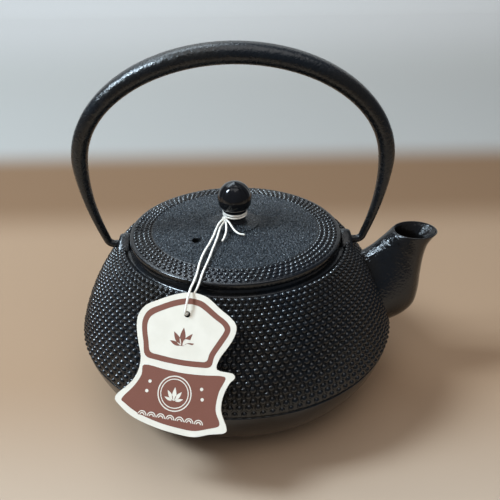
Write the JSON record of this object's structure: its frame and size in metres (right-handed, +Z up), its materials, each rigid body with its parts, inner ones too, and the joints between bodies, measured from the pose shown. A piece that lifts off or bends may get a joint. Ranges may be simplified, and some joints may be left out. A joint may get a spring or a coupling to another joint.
{
  "type": "teapot",
  "caption": "Cast iron teapot with a hobnailed round body, a short spout, a lift-off lid with a bud knob, a swinging arched handle, a hidden strainer and a string-hung card tag.",
  "frame": {"origin": "centre of the flat base, on the surface it stands on", "axes": "+Z up along the pot's axis, +X towards the spout, -Y towards the side that the tag hangs on"},
  "size_m": [0.1708, 0.1615, 0.1679],
  "materials": {
    "cast_iron": "satin black, cast skin",
    "glossy_iron": "glossy black",
    "steel": "bright woven mesh and turned parts",
    "card": "matt printed card",
    "cotton": "twisted cotton twine"
  },
  "bodies": {
    "pot": {"pot": "cast_iron", "spout": "cast_iron", "ear_left": "cast_iron", "ear_right": "cast_iron"},
    "lid": {"lid": "cast_iron", "knob_plate": "cast_iron", "shank_washer": "steel", "tag_card": "card", "string_loop": "cotton", "string_turns": "cotton", "string_knot": "cotton", "string_tail_long": "cotton", "string_tail_short": "cotton"},
    "knob": {"knob": "glossy_iron", "knob_shank": "steel"},
    "handle": {"handle": "cast_iron"},
    "strainer": {"strainer_rim": "steel", "strainer_wall": "steel", "strainer_base": "steel"}
  },
  "joints": [
    {"name": "handle_swing", "type": "hinge", "parent": "pot", "child": "handle", "pos_m": [0, 0, 0.0748], "axis": [1, 0, 0], "range_deg": [-110, 90]},
    {"name": "lid_lift", "type": "slide", "parent": "pot", "child": "lid", "axis": [0, 0, 1], "range_m": [0, 0.02]},
    {"name": "knob_spin", "type": "hinge", "parent": "lid", "child": "knob", "pos_m": [0, 0, 0.0859], "axis": [0, 0, 1], "continuous": true},
    {"name": "strainer_lift", "type": "slide", "parent": "pot", "child": "strainer", "axis": [0, 0, 1], "range_m": [0, 0.01]}
  ],
  "couplings": [
    {"joint": "strainer_lift", "follows": "lid_lift", "ratio": 0.5}
  ]
}
